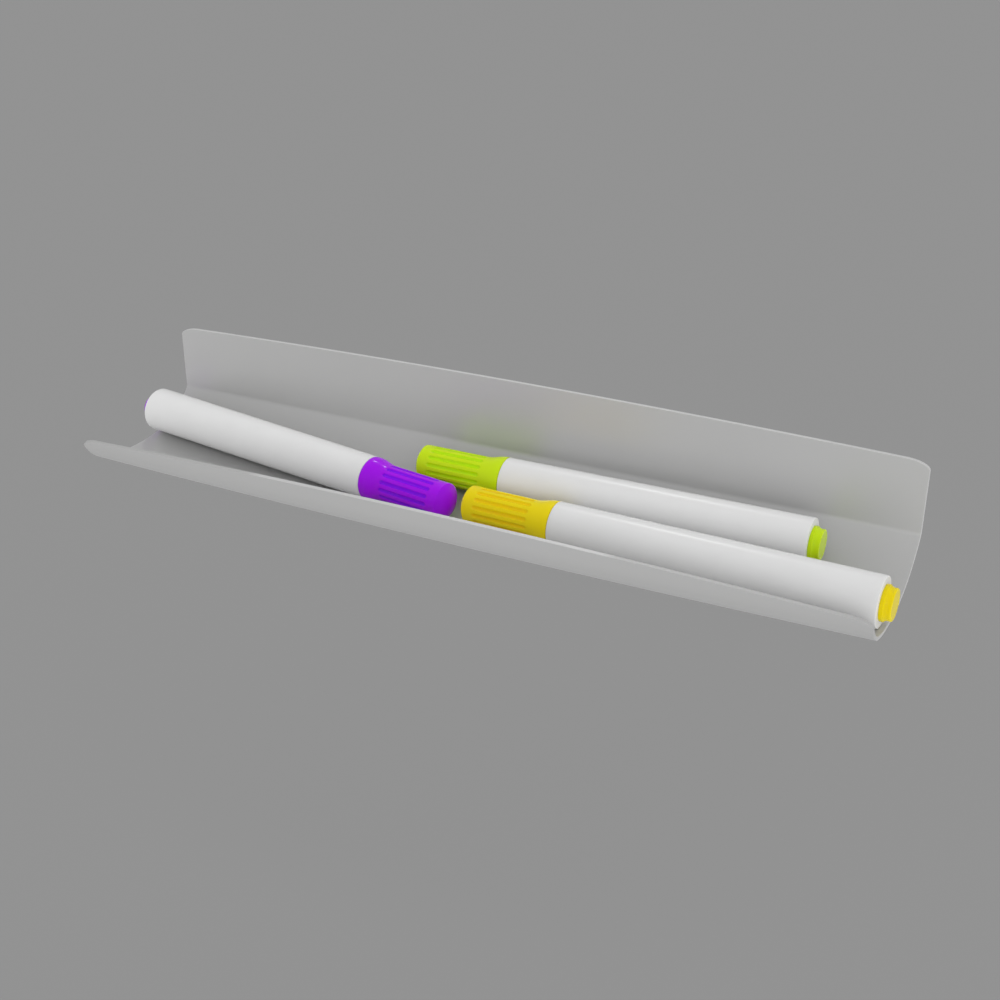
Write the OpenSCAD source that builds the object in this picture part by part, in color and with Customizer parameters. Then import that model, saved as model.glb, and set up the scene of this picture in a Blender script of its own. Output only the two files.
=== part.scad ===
// Whiteboard pen holder: a bent sheet channel that hangs on the board by
// magnets, with three dry-wipe markers lying in it.
// Millimetres. X runs along the channel, +Y points into the board, +Z is up.
// The origin is the middle of the face that rests on the board.

/* [Channel] */
// Length of the channel
tray_length = 280; // [200:1:400]
// Thickness of the sheet
sheet = 1.2; // [0.8:0.1:2]
// Height of the back wall above the bend, at mid length
wall_height = 24.8; // [22:0.1:40]
// How much lower the back wall is at its ends
wall_arch = 2; // [1:0.1:5]
// Height of the front lip above the bend, at mid length
lip_height = 2.9; // [0:0.1:6]
// How much lower the front lip is at its ends
lip_arch = 4.3; // [1:0.1:6]
// How far the front of the channel bows out at mid length
front_bow = 2.5; // [1:0.1:5]
// Length of the rounding at the sheet's four free corners
corner_length = 8; // [3:0.1:12]
// Height of the rounding at the sheet's four free corners
corner_height = 3; // [2:0.1:5]

/* [Channel section] */
// Inside radius of the bend under the back wall
bend_radius = 2.5; // [1:0.1:5]
// Slope of the floor just in front of the bend, in degrees
back_slope = 48.5; // [40:0.5:60]
// Inside radius of the floor's rear part
back_radius = 34; // [28:0.5:45]
// Slope of the floor where its rear part ends, in degrees
floor_slope = 10; // [6:0.5:14]
// Inside radius of the floor's middle part
floor_radius = 58; // [40:0.5:90]
// Inside radius of the floor's front part
front_radius = 50; // [30:0.5:80]
// Slope of the floor where the lip starts to turn up, in degrees
lip_start_slope = 16.7; // [10:0.1:25]
// Inside radius of the lip
lip_radius = 15.5; // [11:0.1:22]
// Slope of the lip near its edge, in degrees
lip_end_slope = 74.3; // [65:0.1:85]

/* [Magnets] */
// Length of one bar magnet
magnet_length = 60; // [30:1:70]
// Height of one bar magnet
magnet_height = 12; // [8:0.5:14]
// Thickness of one bar magnet
magnet_thickness = 3; // [2:0.1:5]
// Distance from the channel's ends to the outer bar magnets
magnet_end_gap = 20; // [10:1:35]
// Height of the magnets' middle above the bend
magnet_level = 11; // [9:0.5:14]
// Thickness of the adhesive behind each magnet
tape_thickness = 0.8; // [0.3:0.1:1.5]
// How far the adhesive stays inside the magnet's edge
tape_inset = 1; // [0.5:0.1:2]
// Thickness of the soft pad on each magnet
pad_thickness = 0.8; // [0.4:0.1:2]

/* [Marker] */
// Length of a marker with its cap on
marker_length = 141; // [130:0.5:150]
// Diameter of the barrel at its tail
tail_d = 15.6; // [15:0.1:17]
// Diameter of the barrel where the cap meets it
front_d = 15; // [14.6:0.1:15.6]
// Rounding of the barrel's tail edge
tail_round = 0.3; // [0.2:0.05:1.5]
// Wall thickness of the barrel at its front
barrel_wall = 1.5; // [1.3:0.05:1.7]
// Length of the end plug that shows
plug_length = 3.4; // [2.5:0.1:6]
// Diameter of the end plug's rim
plug_rim_d = 9.8; // [9.6:0.1:10.4]
// Diameter of the end plug's flange against the barrel
plug_flange_d = 11; // [10.4:0.1:12]
// Diameter of the end plug's waist and of its stem in the barrel
plug_stem_d = 9.4; // [8.4:0.1:9.5]

/* [Cap] */
// Length of the cap
cap_length = 33.8; // [33:0.1:36]
// Diameter of the cap's fluted part
cap_d = 12.7; // [12.6:0.1:13.4]
// Length of the collar, from the mouth to the fluted part
collar_length = 8; // [6:0.1:8.4]
// Number of flutes
flute_count = 15; // [8:1:18]
// Distance from the mouth to the flutes
flute_start = 7.9; // [7:0.1:10]
// Length of a flute
flute_length = 19.8; // [10:0.1:20]
// Width of a flute
flute_width = 1.5; // [0.8:0.05:1.6]
// Depth of a flute
flute_depth = 0.45; // [0.2:0.05:0.6]
// Slope of the domed end at its edge, in degrees
dome_slope = 42; // [25:1:50]
// Rounding of the edge around the domed end
dome_edge = 0.5; // [0.2:0.1:1]
// Diameter of the space inside the cap around the nib
cavity_d = 9.8; // [9.4:0.1:10.4]
// Thickness of the cap's closed end at its middle
cap_end_wall = 3.4; // [3.2:0.1:6]

/* [Nib] */
// Diameter of the neck that the cap fits over
neck_d = 11.4; // [11:0.05:11.6]
// Length of the neck
neck_length = 8; // [5:0.1:8]
// Length of the nose in front of the neck
nose_length = 10; // [7:0.1:11]
// Diameter of the nib
nib_d = 4.8; // [3:0.1:5.2]
// Length of nib that stands out of its nose
nib_out = 5.5; // [4:0.1:6.5]

/* [Where the markers lie] */
// Tip along the channel, then tip and tail in front of the wall
lime_place = [-26.5, 16.3, 16.1];
yellow_place = [1, 34.3, 39.7];
purple_place = [-2.2, 37.2, 17.6];
// Roll of each marker about its own axis, in degrees
lime_roll = 16.3; // [0:0.1:24]
yellow_roll = 15.1; // [0:0.1:24]
purple_roll = 2.3; // [0:0.1:24]

/* [Hidden] */

// Gap under a marker that lies on the sheet
lay_gap = 0.15;
// Radial gap of the cap on its neck
cap_gap = 0.05;
// Gap between the cap's mouth and the barrel
cap_seam = 0.15;
// Radial gap of what is pressed into place
press_gap = 0.02;
// How much two stretches of the sheet share where they join
joint_overlap = 0.05;
// Degrees from point to point along the sheet's section
section_step = 3;
// Degrees from point to point along a corner's rounding
corner_step = 6;
// Degrees by which the bowed front is swept past the channel's ends
sweep_margin = 1;
// Facets of small and of very large circles
small_fn = 96;
great_fn = 1440;
// Larger than the tray across and up
far = 100;

// The sheet's section, followed on its inner side from the bend to the lip.
// A heading is the slope of the sheet: 90 on the wall, 0 on the floor, less
// than 0 on the lip. Points are [y, z] from the bend's edge on the wall.
function toward(heading) = [sin(heading), -cos(heading)];
function arc_center(start, heading, radius) = start - radius * toward(heading);
function arc_end(center, heading, radius) = center + radius * toward(heading);

flat_length = front_bow + 3 * joint_overlap;
bend_c = arc_center([0, 0], 90, bend_radius);
back_c = arc_center(arc_end(bend_c, back_slope, bend_radius), back_slope, back_radius);
floor_c = arc_center(arc_end(back_c, floor_slope, back_radius), floor_slope, floor_radius);
flat_start = arc_end(floor_c, 0, floor_radius);
flat_end = flat_start - [flat_length, 0];
front_c = arc_center(flat_end, 0, front_radius);
lip_c = arc_center(arc_end(front_c, -lip_start_slope, front_radius), -lip_start_slope, lip_radius);
lip_end = arc_end(lip_c, -lip_end_slope, lip_radius);
lip_run = (lip_height - lip_end[1]) / sin(lip_end_slope) + sheet;

// The front bows out along a great circle around an upright axis
half_length = tray_length / 2;
bow_radius = pow(half_length, 2) / (2 * front_bow);
bow_sweep = 2 * asin(half_length / bow_radius) + sweep_margin;
function bow_at(x) = front_bow * (1 - pow(x / half_length, 2));

// Where the bend's edge on the wall lies in the part's frame
tray_at = [0, -pad_thickness - magnet_thickness - tape_thickness - sheet, -magnet_level];

// Inside a marker: the barrel's tail wall, the end plug's stem, the front
// section's spigot and the step behind its nose, the nib in the ink core
tail_wall = 1.6;
stem_length = 6;
spigot_length = 9;
nose_step = 1.3;
nib_in_core = 6;
// Gaps around the ink core, behind it, in front of it and beside it
core_back_gap = 2;
core_front_gap = 0.3;
core_side_gap = 0.2;

// Stations along a marker, from its tail at 0 to its tip
junction = marker_length - cap_length;
barrel_length = junction - plug_length;
taper = (tail_d - front_d) / 2 / barrel_length;
function barrel_r(s) = tail_d / 2 - taper * (s - plug_length);
bore_r = front_d / 2 - barrel_wall;
hole_r = plug_stem_d / 2;
nose_top = junction + neck_length + nose_step + nose_length;
core_back = plug_length + stem_length + core_back_gap;
core_front = junction - spigot_length - core_front_gap;
core_r = bore_r - core_side_gap;

// Height of a circle of radius r that lies on a curved stretch of the sheet
NOWHERE = -far;
function on_arc(y, c, radius, low, high, r) =
    let (s = (y - c[0]) / (radius - r))
    s >= sin(low) && s <= sin(high) ? c[1] - (radius - r) * sqrt(1 - s * s) : NOWHERE;
// Height of a circle of radius r that lies in the channel at x and y
function seat_z(x, y, r) =
    let (bowed_y = y + bow_at(x))
    max(
        on_arc(y, back_c, back_radius, floor_slope, back_slope, r),
        on_arc(y, floor_c, floor_radius, 0, floor_slope, r),
        y <= flat_start[0] && bowed_y >= flat_end[0] ? flat_start[1] + r : NOWHERE,
        on_arc(bowed_y, front_c, front_radius, -lip_start_slope, 0, r),
        on_arc(bowed_y, lip_c, lip_radius, -lip_end_slope, -lip_start_slope, r)
    );
function seated(x, y, s) = [x, y, seat_z(min(abs(x), half_length), y, barrel_r(s) + lay_gap)];

// Each marker as [tail, tip, roll about its axis], from the bend's edge on
// the wall; side is the end of the channel that its tail points to
function laid(place, side, roll) =
    let (run = sqrt(pow(marker_length, 2) - pow(place[2] - place[1], 2)))
    [seated(place[0] + side * run, -place[2], 0), seated(place[0], -place[1], marker_length), roll];
lime_lie = laid(lime_place, 1, lime_roll);
yellow_lie = laid(yellow_place, 1, yellow_roll);
purple_lie = laid(purple_place, -1, purple_roll);

LIME = [0.72, 0.86, 0.12];
YELLOW = [0.88, 0.79, 0.1];
PURPLE = [0.57, 0.12, 0.82];

function reversed(list) = [for (i = [len(list) - 1 : -1 : 0]) list[i]];

// Points of an arc of the section, a distance off its inner side
function arc_points(c, radius, from, to, off) =
    let (n = ceil(abs(from - to) / section_step))
    [for (i = [0 : n]) arc_end(c, from + (to - from) * i / n, radius + off)];

// Back wall, bend and the rear of the floor
function rear_side(off) = concat(
    [[off, wall_height + sheet]],
    arc_points(bend_c, bend_radius, 90, back_slope, off),
    arc_points(back_c, back_radius, back_slope, floor_slope, off),
    arc_points(floor_c, floor_radius, floor_slope, 0, off),
    [flat_end + [joint_overlap, -off]]
);

// Front of the floor and the lip
function front_side(off) = concat(
    [flat_start - [joint_overlap, off]],
    arc_points(front_c, front_radius, 0, -lip_start_slope, off),
    arc_points(lip_c, lip_radius, -lip_start_slope, -lip_end_slope, off),
    [lip_end + off * toward(-lip_end_slope) + lip_run * toward(-lip_end_slope - 90)]
);

module sheet_section(inner, outer) {
    polygon(concat(inner, reversed(outer)));
}

// Cuts a stretch of the sheet to its arched edge with round corners
module trimmed(top, arch) {
    great_r = pow(half_length, 2) / (2 * arch);
    corner_x = half_length - corner_length;
    corner_z = top - arch * pow(corner_x / half_length, 2) - corner_height;
    difference() {
        intersection() {
            children();
            translate([0, 0, top - great_r]) rotate([90, 0, 0])
                cylinder(h = 2 * far, r = great_r, center = true, $fn = great_fn);
        }
        for (side = [-1, 1])
            translate([side * corner_x, 0, corner_z]) rotate([90, 0, 0])
                linear_extrude(2 * far, center = true) corner_cut(side);
    }
}

// What lies outside a quarter of an ellipse
module corner_cut(side) {
    reach = far / 5;
    polygon(concat(
        [for (a = [0 : corner_step : 90]) [side * corner_length * sin(a), corner_height * cos(a)]],
        [[side * reach, 0], [side * reach, reach], [0, reach]]
    ));
}

module tray() {
    color("lightgray") translate(tray_at) difference() {
        union() {
            trimmed(wall_height, wall_arch)
                rotate([90, 0, 90]) linear_extrude(tray_length + far, center = true)
                    sheet_section(rear_side(0), rear_side(sheet));
            trimmed(lip_height, lip_arch)
                translate([0, bow_radius - front_bow, 0])
                    rotate_extrude(angle = bow_sweep, start = -90 - bow_sweep / 2, $fn = great_fn)
                        translate([bow_radius, 0]) mirror([1, 0])
                            sheet_section(front_side(0), front_side(sheet));
        }
        for (side = [-1, 1])
            translate([side * (half_length + far / 2), 0, 0])
                cube([far, 2 * far, 2 * far], center = true);
    }
}

// A flat bar behind the wall, in one of the three magnet places
module back_bar(place, front_y, size) {
    magnet_pitch = half_length - magnet_end_gap - magnet_length / 2;
    translate([place * magnet_pitch - size[0] / 2, front_y, -size[2] / 2]) cube(size);
}

module magnet(place) {
    color("dimgray") back_bar(place, -pad_thickness - magnet_thickness,
        [magnet_length, magnet_thickness, magnet_height]);
}

module tape(place) {
    color("white") back_bar(place, -pad_thickness - magnet_thickness - tape_thickness,
        [magnet_length - 2 * tape_inset, tape_thickness, magnet_height - 2 * tape_inset]);
}

module pad(place) {
    color("black") back_bar(place, -pad_thickness, [magnet_length, pad_thickness, magnet_height]);
}

// Puts a shape drawn up +Z from the tail where a marker lies
module along(lie) {
    run = lie[1] - lie[0];
    translate(tray_at + lie[0])
        rotate([0, acos(run[2] / norm(run)), atan2(run[1], run[0])])
            rotate(lie[2]) children();
}

module turned(colour, section) {
    color(colour) rotate_extrude($fn = small_fn) polygon(section);
}

// Barrel: a tapered tube, open at the front, with a holed wall at the tail
module barrel() {
    tail_r = barrel_r(plug_length + tail_round);
    edge = [for (a = [-90 : 15 : 0])
        [tail_r - tail_round, plug_length + tail_round] + tail_round * [cos(a), sin(a)]];
    turned("white", concat(
        [[hole_r, plug_length]],
        edge,
        [[front_d / 2, junction], [bore_r, junction],
         [bore_r, plug_length + tail_wall], [hole_r, plug_length + tail_wall]]
    ));
}

// End plug: a flange, a waist and a rim, with a stem in the barrel's tail
module end_plug(colour) {
    rim_r = plug_rim_d / 2;
    flange_r = plug_flange_d / 2;
    stem_r = hole_r - press_gap;
    rim_length = plug_length / 4;
    flange_length = plug_length / 3;
    edge_round = 0.35;
    hollow = plug_length - rim_length - flange_length;
    hollow_curve = [for (a = [0 : 15 : 180]) [
        rim_r + (flange_r - rim_r) * a / 180 - (rim_r - stem_r) * sin(a),
        rim_length + hollow * (1 - cos(a)) / 2
    ]];
    turned(colour, concat(
        [[0, 0]],
        [for (a = [90 : -30 : 0])
            [rim_r - edge_round, edge_round] + edge_round * [cos(a), -sin(a)]],
        hollow_curve,
        [[flange_r, plug_length], [stem_r, plug_length],
         [stem_r, plug_length + stem_length], [0, plug_length + stem_length]]
    ));
}

// Front section: pressed into the barrel, with the cap's neck and the nose
module front_section() {
    cavity_gap = 0.2;
    nose_inset = 0.4;
    nose_end_wall = 1;
    nib_hole_r = nib_d / 2 + press_gap;
    flange_r = cavity_d / 2 - cavity_gap;
    nose_r = flange_r - nose_inset;
    nose_end_r = nib_hole_r + nose_end_wall;
    neck_top = junction + neck_length;
    turned("gainsboro", [
        [nib_hole_r, junction - spigot_length], [bore_r - press_gap, junction - spigot_length],
        [bore_r - press_gap, junction], [neck_d / 2, junction],
        [neck_d / 2, neck_top], [flange_r, neck_top],
        [flange_r, neck_top + nose_step], [nose_r, neck_top + nose_step],
        [nose_end_r, nose_top], [nib_hole_r, nose_top]
    ]);
}

// Nib: a fibre rod from the ink core to a rounded writing end
module nib(colour) {
    round_length = 2.2;
    blunt = 75;
    round_start = nose_top + nib_out - round_length;
    turned(colour, concat(
        [[0, core_front - nib_in_core], [nib_d / 2, core_front - nib_in_core]],
        [for (a = [0 : 15 : blunt])
            [nib_d / 2 * cos(a), round_start + round_length * sin(a) / sin(blunt)]],
        [[0, nose_top + nib_out]]
    ));
}

// Ink core: a fibre rod in the barrel, hollow at the front for the nib
module ink_core(colour) {
    nib_hole_r = nib_d / 2 + press_gap;
    turned(colour, [
        [0, core_back], [core_r, core_back], [core_r, core_front], [nib_hole_r, core_front],
        [nib_hole_r, core_front - nib_in_core], [0, core_front - nib_in_core]
    ]);
}

// Cap: a collar that narrows to a fluted body with a domed end
module cap(colour) {
    color(colour) translate([0, 0, junction]) difference() {
        rotate_extrude($fn = small_fn) polygon(cap_section());
        for (i = [0 : flute_count - 1])
            rotate(i * 360 / flute_count) flute();
    }
}

function smooth_step(u) = u * u * (3 - 2 * u);
function cap_section() =
    let (
        collar_r = front_d / 2,
        body_r = cap_d / 2,
        collar_flat = 1.2,
        dome_start_r = body_r - dome_edge * (1 - sin(dome_slope)),
        dome_r = dome_start_r / sin(dome_slope),
        dome_z = cap_length - dome_r,
        edge_z = dome_z + (dome_r - dome_edge) * cos(dome_slope),
        mouth_r = neck_d / 2 + cap_gap,
        neck_end_gap = 0.6,
        mouth_end = neck_length + neck_end_gap,
        cavity_end = cap_length - cap_end_wall
    )
    concat(
        [[mouth_r, cap_seam], [collar_r, cap_seam]],
        [for (u = [0 : 0.1 : 1]) [
            collar_r + (body_r - collar_r) * smooth_step(u),
            collar_flat + (collar_length - collar_flat) * u
        ]],
        [for (a = [90 : -12 : dome_slope]) [body_r - dome_edge, edge_z] + dome_edge * [sin(a), cos(a)]],
        [for (a = [dome_slope : -6 : 0]) [dome_r * sin(a), dome_z + dome_r * cos(a)]],
        [[0, cavity_end], [cavity_d / 2, cavity_end], [cavity_d / 2, mouth_end], [mouth_r, mouth_end]]
    );

module flute() {
    cutter_r = (pow(flute_width / 2, 2) + pow(flute_depth, 2)) / (2 * flute_depth);
    middle = flute_start + flute_length / 2;
    reach = flute_length / 2 - flute_width / 2;
    translate([cap_d / 2 - flute_depth + cutter_r, 0, middle]) {
        cylinder(h = 2 * reach, r = cutter_r, center = true, $fn = 32);
        for (end = [-reach, reach])
            translate([0, 0, end]) sphere(cutter_r, $fn = 32);
    }
}

tray();
magnet(-1);  // magnet_left
magnet(0);  // magnet_center
magnet(1);  // magnet_right
tape(-1);  // tape_left
tape(0);  // tape_center
tape(1);  // tape_right
pad(-1);  // pad_left
pad(0);  // pad_center
pad(1);  // pad_right
along(lime_lie) cap(LIME);  // lime_cap
along(lime_lie) barrel();  // lime_barrel
along(lime_lie) end_plug(LIME);  // lime_end_plug
along(lime_lie) front_section();  // lime_front_section
along(lime_lie) nib(LIME);  // lime_nib
along(lime_lie) ink_core(LIME);  // lime_ink_core
along(yellow_lie) cap(YELLOW);  // yellow_cap
along(yellow_lie) barrel();  // yellow_barrel
along(yellow_lie) end_plug(YELLOW);  // yellow_end_plug
along(yellow_lie) front_section();  // yellow_front_section
along(yellow_lie) nib(YELLOW);  // yellow_nib
along(yellow_lie) ink_core(YELLOW);  // yellow_ink_core
along(purple_lie) cap(PURPLE);  // purple_cap
along(purple_lie) barrel();  // purple_barrel
along(purple_lie) end_plug(PURPLE);  // purple_end_plug
along(purple_lie) front_section();  // purple_front_section
along(purple_lie) nib(PURPLE);  // purple_nib
along(purple_lie) ink_core(PURPLE);  // purple_ink_core
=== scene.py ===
# %% [markdown]
# # A whiteboard pen holder
# This script dresses a finished CAD model. The model holds the true sizes and the joints, and
# the script gives it smooth skins, finishes, light and a camera. Every length that belongs to
# the real object is written in millimetres and turned into metres at one place.

import math

import bpy
from mathutils import Matrix, Vector


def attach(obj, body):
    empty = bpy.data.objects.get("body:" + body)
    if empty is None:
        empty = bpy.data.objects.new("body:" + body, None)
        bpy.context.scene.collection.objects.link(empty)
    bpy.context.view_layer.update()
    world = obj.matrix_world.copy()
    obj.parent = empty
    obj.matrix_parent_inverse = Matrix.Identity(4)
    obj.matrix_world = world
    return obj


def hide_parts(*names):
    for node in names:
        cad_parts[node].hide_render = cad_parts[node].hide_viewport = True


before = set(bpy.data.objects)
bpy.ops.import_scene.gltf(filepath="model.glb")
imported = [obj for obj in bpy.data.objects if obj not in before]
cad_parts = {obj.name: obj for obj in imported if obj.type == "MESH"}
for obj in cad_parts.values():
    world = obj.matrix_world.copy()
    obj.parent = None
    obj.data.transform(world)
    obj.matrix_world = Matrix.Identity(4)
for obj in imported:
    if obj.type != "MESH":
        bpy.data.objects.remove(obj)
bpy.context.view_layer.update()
MM = 0.001
COLOURS = ("lime", "yellow", "purple")

# %% [markdown]
# ## Camera
# A photo of a long object is matched by finding where the camera stood. Its place and its two
# angles were worked out from the channel's straight edges, with a common 50 mm lens. It has no
# roll, so tilt and turn are enough.

# %% Camera
LENS, SENSOR = 50, 36
CAMERA_PLACE, CAMERA_TILT, CAMERA_TURN = (199.63, -399.08, 176.6), 64.85, 27.34
camera = bpy.data.objects.new("camera", bpy.data.cameras.new("camera"))
camera.data.lens = LENS
camera.data.sensor_width = SENSOR
camera.location = Vector(CAMERA_PLACE) * MM
camera.rotation_euler = (math.radians(CAMERA_TILT), 0, math.radians(CAMERA_TURN))
bpy.context.scene.collection.objects.link(camera)
bpy.context.scene.camera = camera
print("camera is", round(camera.location.length, 3), "m from the part's origin")

# %% [markdown]
# ## A small language for node trees
# Shaders and Geometry Nodes are both trees of nodes. Long sums of Math nodes are hard to read,
# so one class holds a node's output and lets Python's own signs add the Math nodes. Every
# other node comes from `add`, which takes the node's type, its settings and its inputs.

# %% Wires and trees
class Wire:
    """One output of a node. Signs such as + and * on it add Math nodes."""

    def __init__(self, tree, socket):
        self.tree, self.socket = tree, socket

    def out(self, name):
        return Wire(self.tree, self.socket.node.outputs[name])

    def math(self, operation, *others):
        inputs = dict(enumerate((self, *others)))
        return self.tree.add("ShaderNodeMath", {"operation": operation}, inputs)

    def swapped(self, operation, first):
        return self.tree.add("ShaderNodeMath", {"operation": operation}, {0: first, 1: self})

    def __add__(self, other):
        return self.math("ADD", other)

    def __sub__(self, other):
        return self.math("SUBTRACT", other)

    def __rsub__(self, other):
        return self.swapped("SUBTRACT", other)

    def __mul__(self, other):
        return self.math("MULTIPLY", other)

    def __truediv__(self, other):
        return self.math("DIVIDE", other)

    def __rtruediv__(self, other):
        return self.swapped("DIVIDE", other)

    def __pow__(self, other):
        return self.math("POWER", other)

    def least(self, other):
        return self.math("MINIMUM", other)

    def most(self, other):
        return self.math("MAXIMUM", other)

    def between(self, low, high):
        return self.most(low).least(high)

    __radd__ = __add__
    __rmul__ = __mul__


class Tree:
    """A node tree that is filled by `add`."""

    def __init__(self, nodes):
        self.nodes = nodes

    def add(self, kind, settings=None, inputs=None, out=0):
        node = self.nodes.nodes.new(kind)
        for name, value in (settings or {}).items():
            setattr(node, name, value)
        for key, value in (inputs or {}).items():
            if isinstance(value, Wire):
                self.nodes.links.new(value.socket, node.inputs[key])
            else:
                node.inputs[key].default_value = value
        return Wire(self, node.outputs[out]) if node.outputs else node


print("wires and trees are ready")

# %% [markdown]
# ## Finishes
# A finish is a material: one shader, with plain numbers on its sockets, and patterns only where
# the real surface changes from place to place, or where shade or a highlight is painted in. All
# patterns read Object coordinates, which are metres on the real part, so a grain of 0.3 mm is
# drawn at 0.3 mm.

# %% Finish helper
class Finish(Tree):
    def __init__(self, name, **plain):
        self.material = bpy.data.materials.new(name)
        self.material.use_nodes = True
        super().__init__(self.material.node_tree)
        self.nodes.nodes.clear()
        self.shader = self.nodes.nodes.new("ShaderNodeBsdfPrincipled")
        for key, value in plain.items():
            self.shader.inputs[key.replace("_", " ")].default_value = value
        self.end = self.add("ShaderNodeOutputMaterial")
        self.show(Wire(self, self.shader.outputs[0]))
        self.place = self.add("ShaderNodeTexCoord", out="Object")

    def show(self, wire):
        self.nodes.links.new(wire.socket, self.end.inputs["Surface"])

    def feed(self, socket, wire):
        self.nodes.links.new(wire.socket, self.shader.inputs[socket])

    def noise(self, size_mm, detail=2.0, stretch=(1, 1, 1)):
        """Noise from 0 to 1 whose blots are about size_mm wide, drawn out along the axes."""
        scale = tuple(1 / (size_mm * MM * s) for s in stretch)
        place = self.add("ShaderNodeMapping", {}, {"Vector": self.place, "Scale": scale})
        return self.add("ShaderNodeTexNoise", {}, {"Vector": place, "Scale": 1.0, "Detail": detail})

    def blend(self, amount, low, high):
        low, high = (c if isinstance(c, Wire) else (*c, 1) for c in (low, high))
        return self.add("ShaderNodeMix", {"data_type": "RGBA"}, {0: amount, 6: low, 7: high}, out=2)

    def relief(self, height, depth_mm):
        inputs = {"Height": height, "Distance": depth_mm * MM}
        self.feed("Normal", self.add("ShaderNodeBump", {}, inputs))


print("finish helper is ready")

# %% [markdown]
# ### Satin anodised sheet
# The channel is aluminium with a satin coat: a metal that blurs what it mirrors. It could be a
# grey paint, but then the weak mirror images of the markers in the back wall would be missing.
# A fine etched grain and faint lines along the rolling direction break the blur up a little. The
# lip is painted a little darker: painted shade. The edges get the same recipe in a brighter tone,
# a painted highlight, all round the wall and along the middle of the lip. The corners of these
# edges are smooth, and a still brighter tone on them draws a thin bright line: a painted highlight.

# %% Satin sheet
# The lip's tone is painted shade.
SHEET_TONE, SHADED_LIP_TONE, STAIN_TONE = (0.62, 0.62, 0.617), (0.58, 0.58, 0.577), (0.4, 0.4, 0.4)
# Edge and corner tones are painted highlights, brighter than the sheet.
EDGE_HIGHLIGHT_TONE, CORNER_HIGHLIGHT_TONE = (0.76, 0.76, 0.76), (0.95, 0.95, 0.95)
LIP_Y, LIP_FADE = -64.0, 8.0
# The painted highlight along the middle of the lip's edge: half length and fade in mm, and its
# strength.
LINE_HALF, LINE_FADE, LINE_SHARE = 66.0, 8.0, 0.75
CLOUD_SIZE, ROLLED_SIZE, ROLLED_STRETCH, ETCHED_SIZE = 24, 0.35, 60, 0.16
STAIN_SHARE, CLOUD_DULLS, ROLLED_DULLS = 0.05, 0.05, 0.04
ETCHED_SHARE, ETCHED_DEPTH = 0.6, 0.004


def satin_sheet(name, roughness, metallic, highlight_tone=None):
    finish = Finish(name, Metallic=metallic)
    cloud = finish.noise(CLOUD_SIZE, detail=3)
    lines = finish.noise(ROLLED_SIZE, detail=2, stretch=(ROLLED_STRETCH, 1, 1))
    grain = finish.noise(ETCHED_SIZE, detail=1)
    spot = finish.add("ShaderNodeSeparateXYZ", {}, {0: finish.place})
    x, y = spot / MM, spot.out("Y") / MM
    behind_lip = ((y - LIP_Y) / LIP_FADE).between(0, 1)
    # Painted shade: the lip is drawn darker than the rest of the sheet.
    tone = finish.blend(behind_lip, SHADED_LIP_TONE, SHEET_TONE)
    if highlight_tone:
        # Painted highlight: edges are drawn brighter behind the lip and along the middle of the lip's
        # edge.
        line = ((LINE_HALF - x.math("ABSOLUTE")) / LINE_FADE).between(0, LINE_SHARE)
        tone = finish.blend(behind_lip.most(line), tone, highlight_tone)
    finish.feed("Base Color", finish.blend(STAIN_SHARE * cloud, tone, STAIN_TONE))
    finish.feed("Roughness", roughness + CLOUD_DULLS * cloud + ROLLED_DULLS * lines)
    finish.relief(ETCHED_SHARE * grain + (1 - ETCHED_SHARE) * lines, ETCHED_DEPTH)
    return finish.material


SATIN = satin_sheet("satin_sheet", 0.38, 0.45)
EDGE_HIGHLIGHT_FINISH = satin_sheet("cut_edge", 0.42, 0.45, EDGE_HIGHLIGHT_TONE)
# Smooth corners in a near-white tone: a painted highlight line.
CORNER_HIGHLIGHT_FINISH = satin_sheet("rubbed_corner", 0.2, 0.3, CORNER_HIGHLIGHT_TONE)
print("made", SATIN.name, EDGE_HIGHLIGHT_FINISH.name, CORNER_HIGHLIGHT_FINISH.name)

# %% [markdown]
# ### Moulded plastics
# Barrels, caps and plugs come out of polished moulds, so they are smooth, but never perfectly
# so: the gloss wanders a little and the skin is very slightly wavy. Light goes into such plastic
# and comes out again close by, so its shade is soft. Subsurface and diffuse roughness give that
# softness. The flutes get painted shade: their colour is drawn darker and more saturated, as
# light bounced in a groove would make it. For that the recipe reads the attribute "flute", in
# which the lathe below leaves how deep each point is pressed. It serves all five colours, and
# the roughness and the softness change with them.

# %% Moulded plastic
SOFT_DEPTH = 2.0
DULL_SIZE, DULL_SHARE = 9, 0.96
SKIN_SIZE, SKIN_DEPTH, GLOSS_WANDER = 0.9, 0.006, 0.08
FLUTE_SHADE_GAIN, FLUTE_SHADE_POWER = 1.5, 0.65


def shaded(colour, share):
    return tuple(channel * share for channel in colour)


def moulded_plastic(name, colour, roughness, softness):
    finish = Finish(
        name, Specular_IOR_Level=0.25, Diffuse_Roughness=1.0, Subsurface_Weight=softness,
        Subsurface_Scale=SOFT_DEPTH * MM, Subsurface_Radius=(1, 1, 1))
    cloud = finish.noise(DULL_SIZE, detail=2)
    skin = finish.noise(SKIN_SIZE, detail=2)
    flute = finish.add("ShaderNodeAttribute", {"attribute_name": "flute"}, out="Fac")
    even = finish.blend(cloud, shaded(colour, DULL_SHARE), colour)
    # Painted shade: flutes are drawn darker and more saturated than the plastic.
    flute_shade_colour = tuple(c * (c / max(colour)) ** FLUTE_SHADE_POWER for c in colour)
    finish.feed("Base Color", finish.blend((FLUTE_SHADE_GAIN * flute).least(1), even, flute_shade_colour))
    finish.feed("Roughness", roughness - GLOSS_WANDER / 2 + GLOSS_WANDER * skin)
    finish.relief(skin, SKIN_DEPTH)
    return finish.material


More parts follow.
